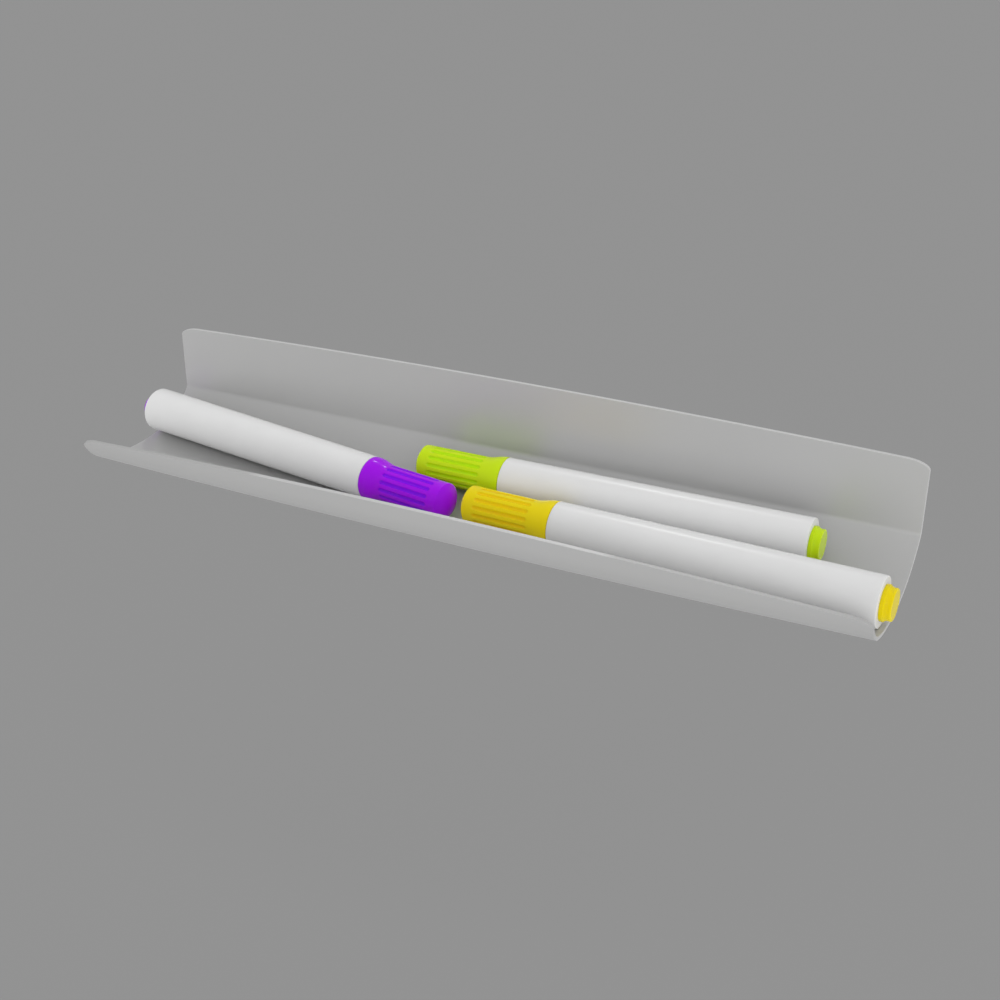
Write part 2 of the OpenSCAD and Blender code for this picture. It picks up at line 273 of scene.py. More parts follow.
PLASTIC_COLOUR = {
    "lime": (0.57, 0.75, 0.008),
    "yellow": (0.8, 0.66, 0.004),
    "purple": (0.39, 0.004, 0.79),
}
PLASTIC = {c: moulded_plastic(c + "_plastic", PLASTIC_COLOUR[c], 0.18, 0.2) for c in COLOURS}
WHITE = moulded_plastic("white_plastic", (0.725, 0.725, 0.725), 0.25, 0.2)
GREY = moulded_plastic("grey_plastic", (0.5, 0.5, 0.5), 0.38, 0.1)
print("made", len(PLASTIC) + 2, "plastics")

# %% [markdown]
# ### Ink-soaked fibre
# Nib and ink core are bundles of fibres along the marker. Fine noise drawn out along the
# marker gives the strands, and the colour is the ink's, darker and quite matt.

# %% Fibre
STRAND_SIZE, STRAND_STRETCH, STRAND_DEPTH = 0.12, 30, 0.03
INK_SHARE, BETWEEN_STRANDS = 0.8, 0.7
FIBRE_DULL, FIBRE_WANDER = 0.75, 0.2


def fibre(colour_name):
    finish = Finish(colour_name + "_fibre", Specular_IOR_Level=0.2)
    strands = finish.noise(STRAND_SIZE, detail=2, stretch=(STRAND_STRETCH, 1, 1))
    ink = shaded(PLASTIC_COLOUR[colour_name], INK_SHARE)
    finish.feed("Base Color", finish.blend(strands, shaded(ink, BETWEEN_STRANDS), ink))
    finish.feed("Roughness", FIBRE_DULL + FIBRE_WANDER * strands)
    finish.relief(strands, STRAND_DEPTH)
    return finish.material


FIBRE = {c: fibre(c) for c in COLOURS}
print("made", len(FIBRE), "fibres")

# %% [markdown]
# ### Magnet, adhesive and pad
# These three lie behind the wall, where only a look from the back finds them. The magnets are
# nickel plated, the adhesive is a thin foam, and the pads are a matt black sheet.

# %% Magnet, adhesive and pad finishes
NICKEL_DARK, NICKEL_LIGHT = (0.58, 0.55, 0.51), (0.66, 0.63, 0.59)
TARNISH_SIZE, NICKEL_GLOSS, TARNISH_DULLS = 6, 0.2, 0.12
PLATING_SIZE, PLATING_DEPTH = 0.7, 0.004
PORE_SHADE, PORE_DEPTH = 0.8, 0.05
FOAM_DULL, FOAM_WANDER = 0.8, 0.15


def nickel():
    finish = Finish("nickel", Metallic=1.0)
    cloud = finish.noise(TARNISH_SIZE, detail=3)
    finish.feed("Base Color", finish.blend(cloud, NICKEL_DARK, NICKEL_LIGHT))
    finish.feed("Roughness", NICKEL_GLOSS + TARNISH_DULLS * cloud)
    finish.relief(finish.noise(PLATING_SIZE), PLATING_DEPTH)
    return finish.material


def foam(name, colour, pore_mm):
    finish = Finish(name, Specular_IOR_Level=0.25)
    pores = finish.noise(pore_mm, detail=3)
    finish.feed("Base Color", finish.blend(pores, shaded(colour, PORE_SHADE), colour))
    finish.feed("Roughness", FOAM_DULL + FOAM_WANDER * pores)
    finish.relief(pores, PORE_DEPTH)
    return finish.material


NICKEL = nickel()
TAPE = foam("tape_foam", (0.7, 0.7, 0.68), 0.3)
PAD = foam("pad_sheet", (0.035, 0.035, 0.035), 0.2)
print("made", NICKEL.name, TAPE.name, PAD.name)

# %% [markdown]
# ## Geometry Nodes as a workshop
# A Geometry Nodes tree is like a machine with dials: the same tree makes other sizes when its
# inputs change. `Machine` builds the tree and its dials, and `run` sets the dials, takes the
# finished mesh off and throws the machine away, so that a plain mesh is left.

# %% Machine helper
SOFT_ANGLE = 0.6
SOCKETS = {
    "size": "NodeSocketFloat",
    "count": "NodeSocketInt",
    "shape": "NodeSocketObject",
    "finish": "NodeSocketMaterial",
}


class Machine(Tree):
    def __init__(self, name, dials):
        super().__init__(bpy.data.node_groups.new(name, "GeometryNodeTree"))
        self.keys = {}
        face = self.nodes.interface
        face.new_socket("Geometry", in_out="OUTPUT", socket_type="NodeSocketGeometry")
        for dial, kind in dials.items():
            item = face.new_socket(dial, in_out="INPUT", socket_type=SOCKETS[kind])
            self.keys[dial] = item.identifier
        self.start = self.add("NodeGroupInput")

    def dial(self, name):
        return self.start.out(name)

    def end(self, geometry, finish):
        """Shades soft inside faces and sharp at edges, and closes the tree."""
        angle = self.add("GeometryNodeInputMeshEdgeAngle")
        soft = self.add("FunctionNodeCompare", {"operation": "LESS_THAN"}, {0: angle, 1: SOFT_ANGLE})
        smooth = self.add("GeometryNodeSetShadeSmooth", {}, {0: geometry, "Shade Smooth": True})
        edges = self.add(
            "GeometryNodeSetShadeSmooth", {"domain": "EDGE"}, {0: smooth, "Shade Smooth": soft}
        )
        real = self.add("GeometryNodeRealizeInstances", {}, {0: edges})
        dressed = self.add("GeometryNodeSetMaterial", {}, {0: real, "Material": finish})
        self.add("NodeGroupOutput", {}, {0: dressed})

    def run(self, name, **values):
        piece = bpy.data.objects.new(name, bpy.data.meshes.new(name))
        bpy.context.scene.collection.objects.link(piece)
        modifier = piece.modifiers.new("machine", "NODES")
        modifier.node_group = self.nodes
        for dial, value in values.items():
            modifier[self.keys[dial]] = value
        view = bpy.context.evaluated_depsgraph_get()
        view.update()
        mesh = bpy.data.meshes.new_from_object(piece.evaluated_get(view))
        piece.modifiers.clear()
        piece.data = mesh
        print(name, "has", len(mesh.polygons), "faces")
        return piece


print("machine helper is ready")

# %% [markdown]
# ## The channel
# The real channel starts as a flat blank: a strip of sheet with arched edges and round
# corners. It is then bent over its length. The tree does the same. A grid is the blank, `s` is
# the distance along it from the bend under the wall, and each curved stretch turns the heading
# of the sheet by its own radius. A swept profile would be shorter, but it could not have a
# front that bows out and edges that are arched.

# %% Sizes of the channel in millimetres
HALF_LENGTH = 140.0
SHEET = 1.2
WALL_HEIGHT, WALL_ARCH = 24.8, 2.0
LIP_HEIGHT, LIP_ARCH = 2.9, 4.3
FRONT_BOW = 2.5
FLAT_LENGTH = 2.65
CORNER_LENGTH, CORNER_HEIGHT = 8.0, 3.0
WALL_FRONT_Y = -5.8
BEND_Z = -11.0
REAR_ARCS = ((2.5, 90.0, 48.5), (34.0, 48.5, 10.0), (58.0, 10.0, 0.0))
FRONT_ARC = (50.0, 0.0, -16.7)
LIP_ARC = (15.5, -16.7, -74.3)
# Rows of the grid crowd towards the foot of the wall by this power, for the bend is tightest there
CROWDING = 1.5


def arc_length(arc):
    radius, start, end = arc
    return radius * math.radians(start - end)


rear_length = sum(arc_length(a) for a in REAR_ARCS)
print("rear stretch of the floor:", round(rear_length, 2), "mm of sheet")

# %% [markdown]
# The lip's edge is the hard part of the blank: its height is known, but the blank needs the
# length of sheet up to that height. Inside the lip's arc the height gives the heading by an
# arc cosine, and above the arc the sheet runs straight.

# %% Height of the lip's arc
def drop_over(arc):
    radius, start, end = arc
    return radius * (math.cos(math.radians(start)) - math.cos(math.radians(end)))


floor_z = -sum(radius * (math.cos(math.radians(e)) - math.cos(math.radians(s)))
               for radius, s, e in REAR_ARCS)
lip_start_z = floor_z + drop_over(FRONT_ARC)
lip_centre_z = lip_start_z + LIP_ARC[0] * math.cos(math.radians(LIP_ARC[1]))
lip_end_z = lip_start_z + drop_over(LIP_ARC)
lip_heights = [round(z, 2) for z in (floor_z, lip_start_z, lip_end_z)]
print("floor, lip start and lip end in mm:", lip_heights)

# %% Machine that bends the blank
def bending_machine():
    m = Machine("bend the blank", {
        "half length": "size", "wall height": "size", "wall arch": "size",
        "lip height": "size", "lip arch": "size", "front bow": "size",
        "corner length": "size", "corner height": "size", "middle columns": "count",
        "corner columns": "count", "wall rows": "count", "floor rows": "count", "finish": "finish",
    })
    half, corner = m.dial("half length"), m.dial("corner length")
    middle, ends = m.dial("middle columns"), m.dial("corner columns")
    wall_rows, floor_rows = m.dial("wall rows"), m.dial("floor rows")
    across, along = wall_rows + floor_rows, 2 * (middle + ends)
    grid = m.add("GeometryNodeMeshGrid", {}, {
        "Size X": 1.0, "Size Y": 1.0, "Vertices X": along + 1, "Vertices Y": across + 1})
    spot = m.add("ShaderNodeSeparateXYZ", {}, {0: m.add("GeometryNodeInputPosition")})

    column = spot.math("ABSOLUTE") * along
    inner = (column / middle).least(1) * (half - corner)
    turn = (column - middle).most(0) / ends * (math.pi / 2)
    x = (inner + corner * turn.math("SINE")) * spot.math("SIGN")
    lowered = m.dial("corner height") * (1 - turn.math("COSINE"))
    arch = (inner / half) ** 2
    bow = m.dial("front bow") * (1 - (x / half) ** 2)
    wall_top = m.dial("wall height") - m.dial("wall arch") * arch - lowered
    lip_top = m.dial("lip height") - m.dial("lip arch") * arch - lowered

    radius, lip_from, lip_to = LIP_ARC
    steepest = math.radians(-lip_to)
    slope = ((lip_centre_z - lip_top) / radius).between(math.cos(steepest), 1).math("ARCCOSINE")
    in_lip = radius * (slope - math.radians(-lip_from))
    above_lip = (lip_top - lip_end_z).most(0) / math.sin(steepest)
    flat = FLAT_LENGTH + bow
    whole = rear_length + flat + arc_length(FRONT_ARC) + in_lip + above_lip

    row = (spot.out("Y") + 0.5) * across
    up_wall = wall_top * (1 - (row / wall_rows).least(1))
    s = whole * ((row - wall_rows).most(0) / floor_rows) ** CROWDING

    # Both are wires from the start, and each stretch adds its share. None is the flat stretch
    y, z = WALL_FRONT_Y - 0 * s, BEND_Z + up_wall
    done = 0.0
    for arc in (*REAR_ARCS, None, FRONT_ARC, LIP_ARC):
        if arc is None:
            y = y - (s - done).between(0, flat)
            done = done + flat
            continue
        arc_radius, start, end = arc
        heading = math.radians(start) - (s - done).between(0, arc_length(arc)) / arc_radius
        y = y + arc_radius * (heading.math("SINE") - math.sin(math.radians(start)))
        z = z - arc_radius * (heading.math("COSINE") - math.cos(math.radians(start)))
        done = done + arc_length(arc)
    straight = (s - done).most(0)
    y = y - straight * math.cos(steepest)
    z = z + straight * math.sin(steepest)

    place = m.add("ShaderNodeCombineXYZ", {}, {0: x * MM, 1: y * MM, 2: z * MM})
    bent = m.add("GeometryNodeSetPosition", {}, {0: grid, "Position": place})
    m.end(m.add("GeometryNodeFlipFaces", {}, {0: bent}), m.dial("finish"))
    return m


channel = bending_machine().run("channel_sheet", **{
    "half length": HALF_LENGTH, "wall height": WALL_HEIGHT, "wall arch": WALL_ARCH,
    "lip height": LIP_HEIGHT, "lip arch": LIP_ARCH, "front bow": FRONT_BOW,
    "corner length": CORNER_LENGTH, "corner height": CORNER_HEIGHT,
    "middle columns": 50, "corner columns": 8, "wall rows": 8, "floor rows": 130, "finish": SATIN})

# %% [markdown]
# The bent blank has no thickness yet. Solidify adds the 1.2 mm of sheet behind the face that the
# markers lie on, and gives the cut edge its own finish, with a painted highlight. A very small
# bevel takes the sharpness off, in the finish of the smooth corners, whose near-white tone is a
# painted highlight along the edges.

# %% Thickness and cut edges
EDGE_FINISH, CORNER_FINISH = 1, 2
EDGE_BEVEL, EDGE_ANGLE = 0.25, 50
thick = channel.modifiers.new("thickness", "SOLIDIFY")
thick.thickness = SHEET * MM
thick.offset = -1
thick.use_even_offset = True
thick.material_offset_rim = EDGE_FINISH
edge = channel.modifiers.new("cut edge", "BEVEL")
edge.width = EDGE_BEVEL * MM
edge.segments = 2
edge.material = CORNER_FINISH
edge.limit_method = "ANGLE"
edge.angle_limit = math.radians(EDGE_ANGLE)
edge.harden_normals = True
for finish in (EDGE_HIGHLIGHT_FINISH, CORNER_HIGHLIGHT_FINISH):
    channel.data.materials.append(finish)
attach(channel, "channel")
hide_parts("tray")
print("channel is", SHEET, "mm thick")

# %% [markdown]
# ## Turned pieces
# Barrel, plug, cap, front section and nib are all round. A lathe tree makes them from half a
# section: a list of radius and height points, up the outside and down the inside, so that the
# faces point outwards. The tree lays a grid round the axis, takes each row's radius and height
# from the list, and cuts the flutes by pressing the skin inwards. It leaves the depth of the
# pressing as the attribute "flute" for the finish. Modelling each piece by hand would be slower,
# and the flutes would not stay evenly spaced.

# %% Lathe with flutes
WELD = 0.0005


def lathe():
    skin_share = 0.9
    m = Machine("lathe", {
        "section": "shape", "steps round": "count", "flutes": "count",
        "flute width": "size", "flute depth": "size", "flute start": "size",
        "flute length": "size", "fluted radius": "size", "finish": "finish",
    })
    section = m.add("GeometryNodeObjectInfo", {}, {"Object": m.dial("section")}, out="Geometry")
    points = m.add("GeometryNodeAttributeDomainSize", {}, {0: section})
    grid = m.add("GeometryNodeMeshGrid", {}, {
        "Size X": 1.0, "Size Y": 1.0, "Vertices X": m.dial("steps round") + 1, "Vertices Y": points})
    spot = m.add("ShaderNodeSeparateXYZ", {}, {0: m.add("GeometryNodeInputPosition")})
    row = ((spot.out("Y") + 0.5) * (points - 1)).math("ROUND")
    sample = m.add("GeometryNodeSampleIndex", {"data_type": "FLOAT_VECTOR"}, {
        "Geometry": section, "Value": m.add("GeometryNodeInputPosition"), "Index": row})
    half_section = m.add("ShaderNodeSeparateXYZ", {}, {0: sample})
    radius, height = half_section, half_section.out("Z")

    flutes = m.dial("flutes")
    turn = spot * flutes
    aside = (turn - turn.math("ROUND")) / flutes.most(1) * (2 * math.pi)
    width, depth, middle = m.dial("flute width"), m.dial("flute depth"), m.dial("fluted radius")
    cutter = ((width / 2) ** 2 + depth ** 2) / (2 * depth)
    reach = m.dial("flute length") / 2 - width / 2
    centre = m.dial("flute start") + m.dial("flute length") / 2
    past_end = ((height - centre).math("ABSOLUTE") - reach).most(0)
    rise = (cutter ** 2 - (aside * middle) ** 2 - past_end ** 2).most(0).math("SQRT")
    pressed = (rise - (cutter - depth) - middle + radius).most(0)
    fluted = flutes.math("GREATER_THAN", 0)
    on_skin = radius.math("GREATER_THAN", middle * skin_share) * fluted
    dent = pressed * rise.math("GREATER_THAN", 0) * on_skin
    radius = radius - dent

    angle = spot * (2 * math.pi)
    across, up = radius * angle.math("COSINE"), radius * angle.math("SINE")
    place = m.add("ShaderNodeCombineXYZ", {}, {0: across * MM, 1: up * MM, 2: height * MM})
    # The plastic finish paints shade into the flutes from this depth.
    marked = m.add("GeometryNodeStoreNamedAttribute", {}, {
        0: grid, "Name": "flute", "Value": dent / depth})
    shaped = m.add("GeometryNodeSetPosition", {}, {0: marked, "Position": place})
    closed = m.add("GeometryNodeMergeByDistance", {}, {0: shaped, "Distance": WELD * MM})
    m.end(closed, m.dial("finish"))
    return m


LATHE = lathe()
print("lathe has", len(LATHE.nodes.nodes), "nodes")

# %% [markdown]
# Sharp corners of a real moulding are always a little round, and that roundness is what shows
# as a thin bright line. `eased` rounds each corner of a section with a short curve, and adds a
# point on both sides of it, so that the soft shading of the corner doesn't run down the piece.

# %% Rounded corners of a section
NEARLY_STRAIGHT = 150


def eased(points, radius):
    """Rounds each inner corner, by at most a fifth of its shorter side."""
    spots = [Vector(p) for p in points]
    out = [spots[0]]
    for before, corner, after in zip(spots, spots[1:], spots[2:]):
        back, on = before - corner, after - corner
        if back.angle(on) > math.radians(NEARLY_STRAIGHT):
            out.append(corner)
            continue
        cut = min(radius, back.length / 5, on.length / 5)
        first, last = corner + back.normalized() * cut, corner + on.normalized() * cut
        out.append(corner + back.normalized() * 2 * cut)
        for t in (0, 0.25, 0.5, 0.75, 1):
            out.append(first.lerp(corner, t).lerp(corner.lerp(last, t), t))
        out.append(corner + on.normalized() * 2 * cut)
    return [*out, spots[-1]]


print("a right angle gets", len(eased([(0, 0), (0, 9), (9, 9)], 0.2)), "points")

# %% [markdown]
# ### Sizes of a marker
# The three markers are the same mouldings in three colours, so one list of sizes serves them
# all. Lengths are counted along the axis from the tail, and the places where two pieces meet
# are sums of other lengths, so that a changed length leaves no gap.

# %% Sizes of a marker in millimetres, from its tail at 0 to its tip
MARKER_LENGTH = 141.0
CAP_LENGTH = 33.8
PLUG_LENGTH = 3.4
JUNCTION = MARKER_LENGTH - CAP_LENGTH
TAIL_R, FRONT_R = 7.8, 7.5
BORE_R, HOLE_R = 6.0, 4.7
TAIL_WALL = 1.6
STEM_LENGTH = 6.0
SPIGOT_LENGTH = 9.0
NECK_R, NECK_LENGTH = 5.7, 8.0
NOSE_STEP, NOSE_LENGTH = 1.3, 10.0
NOSE_TOP = JUNCTION + NECK_LENGTH + NOSE_STEP + NOSE_LENGTH
NIB_R, NIB_OUT = 2.4, 5.5
PRESS_GAP = 0.02
CORE_FRONT_GAP, CORE_SIDE_GAP, CORE_BACK_GAP = 0.3, 0.2, 2.0
CORE_FRONT = JUNCTION - SPIGOT_LENGTH - CORE_FRONT_GAP
NIB_IN_CORE = 6.0
print("junction, nose and nib at", JUNCTION, NOSE_TOP, NOSE_TOP + NIB_OUT, "mm")

# %% [markdown]
# ### Barrel and end plug
# The barrel narrows by 0.6 mm from tail to cap, which lets it out of its mould. Its end plug
# has a rim, a waist that the light picks out as a lighter band, and a flange on the barrel.

# %% Sections of barrel and end plug
def arc_points(centre, radius, start, end, steps):
    turns = [math.radians(start + (end - start) * i / steps) for i in range(steps + 1)]
    return [(centre[0] + radius * math.cos(t), centre[1] + radius * math.sin(t)) for t in turns]


def barrel_section():
    tail_round, mouth_round, end_row = 0.3, 0.12, 1.0
    inner_end = PLUG_LENGTH + TAIL_WALL
    taper = (TAIL_R - FRONT_R) / (JUNCTION - PLUG_LENGTH)
    corner = (TAIL_R - taper * tail_round - tail_round, PLUG_LENGTH + tail_round)
    inside = [(BORE_R, JUNCTION), (BORE_R, inner_end), (HOLE_R, inner_end), (HOLE_R, PLUG_LENGTH)]
    skin = [(FRONT_R + taper * rest, JUNCTION - rest) for rest in (100, 80, 60, 40, 20, 6, 1)]
    mouth = eased([skin[-1], (FRONT_R, JUNCTION), inside[0]], mouth_round)
    tail = arc_points(corner, tail_round, -90, 0, 8)
    end = [(HOLE_R, PLUG_LENGTH), (HOLE_R + end_row, PLUG_LENGTH)]
    return [*end, *tail, *skin[:-1], *mouth, *inside[1:]]


def plug_section():
    rim_r, flange_r, stem_r = 4.9, 5.5, HOLE_R - PRESS_GAP
    rim, flange = PLUG_LENGTH / 4, PLUG_LENGTH / 3
    rim_round, flange_round, end_row, steps = 0.35, 0.1, 1.0, 16
    waist = []
    for step in range(steps + 1):
        turn = math.pi * step / steps
        radius = rim_r + (flange_r - rim_r) * step / steps - (rim_r - stem_r) * math.sin(turn)
        waist.append((radius, rim + (PLUG_LENGTH - rim - flange) * (1 - math.cos(turn)) / 2))
    rim_edge = arc_points((rim_r - rim_round, rim_round), rim_round, -90, 0, 6)
    flange_edge = eased([waist[-1], (flange_r, PLUG_LENGTH), (stem_r, PLUG_LENGTH)], flange_round)
    stem_top = PLUG_LENGTH + STEM_LENGTH
    stem = [(stem_r, stem_top), (0, stem_top)]
    return [(0, 0), (rim_r - end_row, 0), *rim_edge, *waist, *flange_edge[1:], *stem]


print(len(barrel_section()), "points round the barrel,", len(plug_section()), "round the plug")

# %% [markdown]
# ### Cap
# A collar as wide as the barrel narrows in a soft S to a thinner body with fifteen flutes,
# which give the fingers a grip, and ends in a low dome. Inside there is a bore that holds the
# neck, and a hollow for the nib. The S is a smooth step, because a plain cone would show a
# crease at each end.

# %% Section of the cap
CAP_R = 6.35
COLLAR_LENGTH, COLLAR_FLAT = 8.0, 1.2
FLUTES, FLUTE_WIDTH, FLUTE_DEPTH = 15, 1.5, 0.45
FLUTE_START, FLUTE_LENGTH = 7.9, 19.8
DOME_SLOPE, DOME_EDGE = 42.0, 0.5
CAVITY_R, CAP_END_WALL = 4.9, 3.4
CAP_SEAM, CAP_GAP = 0.15, 0.05
MOUTH_SPARE, MOUTH_ROUND = 0.6, 0.12


def cap_section():
    slope = math.radians(DOME_SLOPE)
    dome_r = (CAP_R - DOME_EDGE * (1 - math.sin(slope))) / math.sin(slope)
    dome_z = CAP_LENGTH - dome_r
    edge_z = dome_z + (dome_r - DOME_EDGE) * math.cos(slope)
    dome = arc_points((0, dome_z), dome_r, 90, 90 - DOME_SLOPE, 14)
    edge_points = arc_points((CAP_R - DOME_EDGE, edge_z), DOME_EDGE, 90 - DOME_SLOPE, 0, 5)
    body_rows, collar_rows = 66, 20
    body = [(CAP_R, edge_z + (COLLAR_LENGTH - edge_z) * i / body_rows) for i in range(1, body_rows)]
    collar = []
    for i in range(collar_rows + 1):
        u = 1 - i / collar_rows
        radius = FRONT_R + (CAP_R - FRONT_R) * u * u * (3 - 2 * u)
        collar.append((radius, COLLAR_FLAT + (COLLAR_LENGTH - COLLAR_FLAT) * u))
    mouth_r, mouth_end = NECK_R + CAP_GAP, NECK_LENGTH + MOUTH_SPARE
    hollow_end = CAP_LENGTH - CAP_END_WALL
    lip = [collar[-1], (FRONT_R, CAP_SEAM), (mouth_r, CAP_SEAM), (mouth_r, mouth_end)]
    mouth = eased(lip, MOUTH_ROUND)
    inside = [(CAVITY_R, mouth_end), (CAVITY_R, hollow_end), (0, hollow_end)]
    outline = [*dome, *edge_points[1:], *body, *collar, *mouth[1:], *inside]
    return [(radius, JUNCTION + height) for radius, height in reversed(outline)]


print(len(cap_section()), "points round the cap")

# %% [markdown]
# ### Front section, nib and ink core
# These come into sight when a marker is drawn out of its cap: a neck that the cap grips, a
# tapered nose and a blunt fibre nib. The core stays inside the barrel.

# %% Sections of front section, nib and ink core
def front_section():
    flange_gap, nose_gap, nose_ring, edge_round = 0.2, 0.6, 1.0, 0.15
    hole, spigot_r, start = NIB_R + PRESS_GAP, BORE_R - PRESS_GAP, JUNCTION - SPIGOT_LENGTH
    flange_r, nose_r = CAVITY_R - flange_gap, CAVITY_R - nose_gap
    neck_top = JUNCTION + NECK_LENGTH
    nose_start = neck_top + NOSE_STEP
    outline = [
        (hole, start), (spigot_r, start), (spigot_r, JUNCTION), (NECK_R, JUNCTION),
        (NECK_R, neck_top), (flange_r, neck_top), (flange_r, nose_start), (nose_r, nose_start),
        (hole + nose_ring, NOSE_TOP), (hole, NOSE_TOP), (hole, start)]
    return eased(outline, edge_round)


def nib_section():
    round_length, blunt, step = 2.2, 75, 5
    start, top = CORE_FRONT - NIB_IN_CORE, NOSE_TOP + NIB_OUT
    highest = math.sin(math.radians(blunt))
    end = []
    for turn in (math.radians(a) for a in range(0, blunt + 1, step)):
        height = top - round_length + round_length * math.sin(turn) / highest
        end.append((NIB_R * math.cos(turn), height))
    return [(0, start), (NIB_R, start), (NIB_R, NOSE_TOP), *end, (0, top)]


def core_section():
    back, deep = PLUG_LENGTH + STEM_LENGTH + CORE_BACK_GAP, CORE_FRONT - NIB_IN_CORE
    radius, hole = BORE_R - CORE_SIDE_GAP, NIB_R + PRESS_GAP
    rod = [(0, back), (radius, back), (radius, CORE_FRONT)]
    return [*rod, (hole, CORE_FRONT), (hole, deep), (0, deep)]


print(len(front_section()), "points round the front section")

# %% [markdown]
# ### Three markers in the channel
# Every marker is turned upright and then laid where its CAD node lies: its tail goes to the
# tail point, its axis to the tip point, and it is rolled about its axis. The place goes into
# the mesh, so that the object itself stays at the origin, as the export needs.

# %% Places of the markers: tail point, tip point and roll in degrees
LIES = {
    "lime": ((114.5, -21.9, -14.174), (-26.5, -22.1, -14.696), 16.3),
    "yellow": ((141.897, -45.5, -15.98), (1.0, -40.1, -16.94), 15.1),
    "purple": ((-141.831, -23.4, -14.744), (-2.2, -43.0, -16.902), 2.3),
}


def lie_matrix(tail, tip, roll):
    run = Vector(tip) - Vector(tail)
    pitch, heading = math.acos(run.z / run.length), math.atan2(run.y, run.x)
    aimed = Matrix.Rotation(heading, 4, "Z") @ Matrix.Rotation(pitch, 4, "Y")
    rolled = Matrix.Rotation(math.radians(roll), 4, "Z")
    return Matrix.Translation(Vector(tail) * MM) @ aimed @ rolled


print("laid out", len(LIES), "markers")

# %% Turn the pieces and lay them in the channel
def turned(name, section, finish, steps, flutes):
    mesh = bpy.data.meshes.new("section")
    mesh.from_pydata([(radius, 0, height) for radius, height in section], [], [])
    shape = bpy.data.objects.new("section", mesh)
    bpy.context.scene.collection.objects.link(shape)
    piece = LATHE.run(name, **{
        "section": shape, "steps round": steps, "flutes": flutes, "flute width": FLUTE_WIDTH,
        "flute depth": FLUTE_DEPTH, "flute start": JUNCTION + FLUTE_START,
        "flute length": FLUTE_LENGTH, "fluted radius": CAP_R, "finish": finish})
    bpy.data.objects.remove(shape)
    return piece


for colour in COLOURS:
    place = lie_matrix(*LIES[colour])
    # Piece, section, finish, steps round, flutes and slot
    parts = (
        ("cap", cap_section(), PLASTIC[colour], 18 * FLUTES, FLUTES, colour + "_plastic"),
        ("barrel", barrel_section(), WHITE, 128, 0, "white_barrel"),
        ("end_plug", plug_section(), PLASTIC[colour], 96, 0, colour + "_plastic"),
        ("front_section", front_section(), GREY, 96, 0, "grey_front"),
        ("nib", nib_section(), FIBRE[colour], 64, 0, colour + "_fibre"),
        ("ink_core", core_section(), FIBRE[colour], 48, 0, colour + "_fibre"),
    )
    for part, section, finish, steps, flutes, slot in parts:
        piece = turned("turned_" + colour + "_" + part, section, finish, steps, flutes)
        piece.data.transform(place)
        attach(piece, colour + ("_cap_body" if part == "cap" else "_marker_body"))
        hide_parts(colour + "_" + part)

# %% [markdown]
# ## Magnets, adhesive and pads
# Three equal bars in a row are an instance job: one bar, three points, and the tree puts the
# bar on each point. The same tree makes the magnets, the adhesive and the pads, with other
# sizes on its dials. A small bevel finishes their edges.

# %% Row of bars
def bar_machine():
    m = Machine("row of bars", {
        "length": "size", "thickness": "size", "height": "size", "pitch": "size",
        "back": "size", "count": "count", "finish": "finish",
    })
    size = m.add("ShaderNodeCombineXYZ", {}, {
        0: m.dial("length") * MM, 1: m.dial("thickness") * MM, 2: m.dial("height") * MM})
    bar = m.add("GeometryNodeMeshCube", {}, {"Size": size})
    step = m.add("ShaderNodeCombineXYZ", {}, {0: m.dial("pitch") * MM})
    depth = (m.dial("back") + m.dial("thickness") / 2) * MM
    first = m.add("ShaderNodeCombineXYZ", {}, {
        0: (1 - m.dial("count")) / 2 * m.dial("pitch") * MM, 1: 0 - depth})
    points = m.add("GeometryNodeMeshLine", {}, {
        "Count": m.dial("count"), "Start Location": first, "Offset": step})
    m.end(m.add("GeometryNodeInstanceOnPoints", {}, {0: points, "Instance": bar}), m.dial("finish"))
    return m


MAGNET_LENGTH, MAGNET_HEIGHT, MAGNET_PITCH = 60.0, 12.0, 90.0
PAD_THICKNESS, MAGNET_THICKNESS, TAPE_THICKNESS, TAPE_INSET = 0.8, 3.0, 0.8, 1.0
BARS = bar_machine()
# Name, inset, thickness, distance behind the board's face, finish, bevel and slot
rows = (
    ("magnet", 0, MAGNET_THICKNESS, PAD_THICKNESS, NICKEL, 0.4, "magnet_nickel"),
    ("tape", TAPE_INSET, TAPE_THICKNESS, PAD_THICKNESS + MAGNET_THICKNESS, TAPE, 0.1, "adhesive_tape"),
    ("pad", 0, PAD_THICKNESS, 0, PAD, 0.15, "soft_pad"),
)
for name, inset, thickness, back, finish, bevel_mm, slot in rows:
    piece = BARS.run(name + "_row", **{
        "length": MAGNET_LENGTH - 2 * inset, "thickness": thickness,
        "height": MAGNET_HEIGHT - 2 * inset, "pitch": MAGNET_PITCH, "back": float(back),
        "count": 3, "finish": finish})
    bevel = piece.modifiers.new("soft edge", "BEVEL")
    bevel.width = bevel_mm * MM
    bevel.segments = 3
    bevel.harden_normals = True
    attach(piece, "channel")
    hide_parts(name + "_left", name + "_center", name + "_right")

# %% [markdown]
# ## Floor and light
# The holder hangs on a board that isn't part of it, so the floor lies well below. Rays that show
# something, to the camera or in a mirror image, find floor and world in one plain grey. Rays that
# light the part find both much paler, so it is lit from all sides, as in a pale studio.
# `by_sight` makes this choice.

# %% Floor
BACKGROUND, PAPER = (0.29, 0.29, 0.29), (0.305, 0.305, 0.305)
WORLD_FILL, FLOOR_FILL = 0.67, 0.85
FLOOR_Z, FLOOR_REACH = -0.5, 40.0

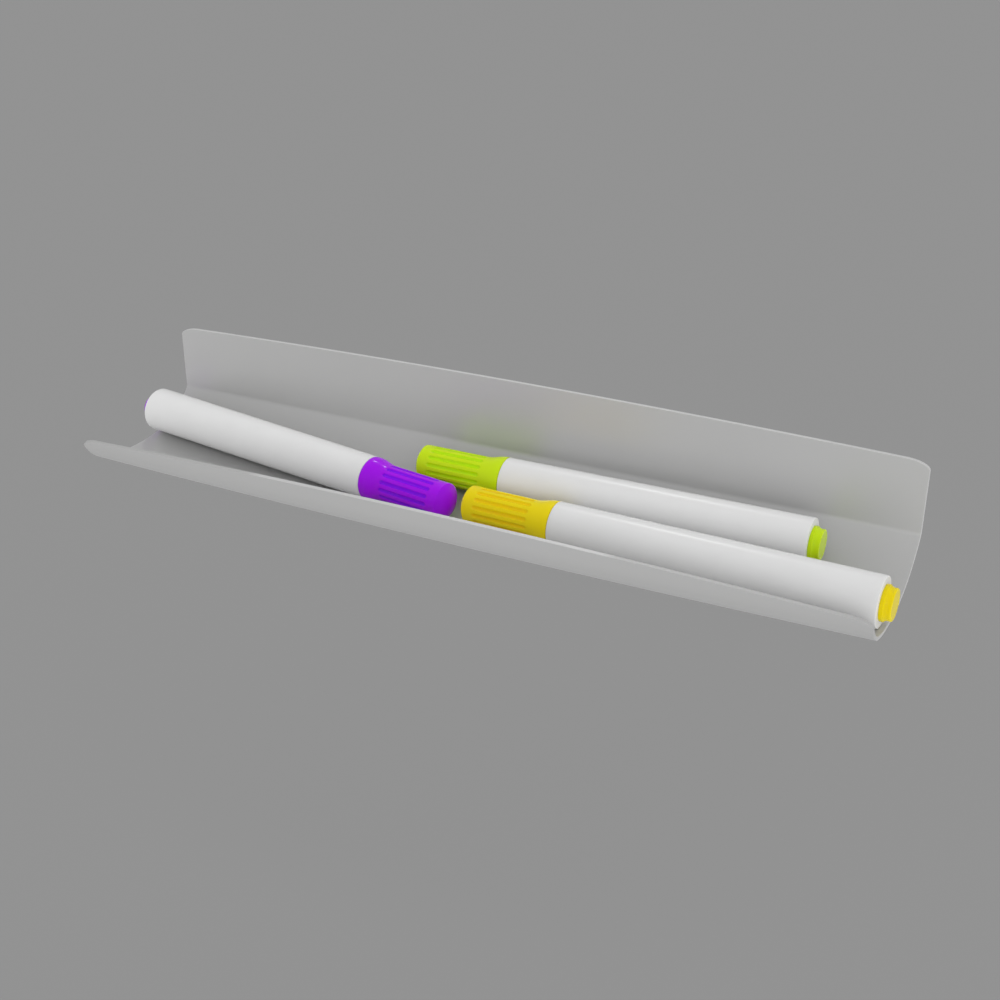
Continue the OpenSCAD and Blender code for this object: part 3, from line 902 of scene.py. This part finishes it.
corners = [(x, y, FLOOR_Z) for x, y in (
    (-FLOOR_REACH, -FLOOR_REACH), (FLOOR_REACH, -FLOOR_REACH),
    (FLOOR_REACH, FLOOR_REACH), (-FLOOR_REACH, FLOOR_REACH))]
floor_mesh = bpy.data.meshes.new("floor")
floor_mesh.from_pydata(corners, [], [(0, 1, 2, 3)])
floor = bpy.data.objects.new("floor", floor_mesh)
bpy.context.scene.collection.objects.link(floor)


def by_sight(tree, unseen, seen):
    """Mixes two shaders: one for the rays that light things, one for the rays that show them."""
    path = tree.add("ShaderNodeLightPath")
    sight = path.most(path.out("Is Glossy Ray")).most(path.out("Is Transmission Ray"))
    return tree.add("ShaderNodeMixShader", {}, {0: sight, 1: unseen, 2: seen})


paper = Finish("floor_paper", Roughness=0.9, Specular_IOR_Level=0.0)
paper.shader.inputs["Base Color"].default_value = (*PAPER, 1)
glow = paper.add("ShaderNodeEmission", {}, {"Color": (1, 1, 1, 1), "Strength": FLOOR_FILL})
paper.show(by_sight(paper, glow, Wire(paper, paper.shader.outputs[0])))
floor_mesh.materials.append(paper.material)
print("floor lies", -FLOOR_Z, "m below the part")

# %% World
world = bpy.data.worlds.new("studio")
world.use_nodes = True
sky = Tree(world.node_tree)
sky.nodes.nodes.clear()
fill = sky.add("ShaderNodeBackground", {}, {"Color": (1, 1, 1, 1), "Strength": WORLD_FILL})
back = sky.add("ShaderNodeBackground", {}, {"Color": (*BACKGROUND, 1), "Strength": 1.0})
sky.add("ShaderNodeOutputWorld", {}, {0: by_sight(sky, fill, back)})
bpy.context.scene.world = world
print("world is", BACKGROUND[0], "to sight and", WORLD_FILL, "to light")

# %% [markdown]
# ### Lamps
# A sun lamp with a wide angle is a soft light that doesn't grow weaker with distance, so the
# whole channel is lit alike, which a near area lamp can't do. One wide sun stands high behind the
# part and one stands near the camera. Neither is mirrored, because their broad images would
# whiten the gloss. The small highlights on caps and barrels come from a third sun, which is
# weak and narrow.

# %% Three suns: name, strength, heading, height and width in degrees, and whether it is mirrored
SUNS = (
    ("top", 0.25, -151, 55, 60, False),
    ("spark", 0.16, -151, 49, 5, True),
    ("front", 1.37, 28, 24, 60, False),
)


def soft_sun(name, strength, heading, height, width, mirrored):
    lamp = bpy.data.lights.new(name, "SUN")
    lamp.energy = strength
    lamp.angle = math.radians(width)
    holder = bpy.data.objects.new(name, lamp)
    holder.rotation_euler = (math.radians(90 - height), 0, math.radians(heading))
    holder.visible_glossy = mirrored
    bpy.context.scene.collection.objects.link(holder)


for sun in SUNS:
    soft_sun(*sun)
bpy.context.scene.view_settings.view_transform = "Standard"
print("made", len(SUNS), "suns")
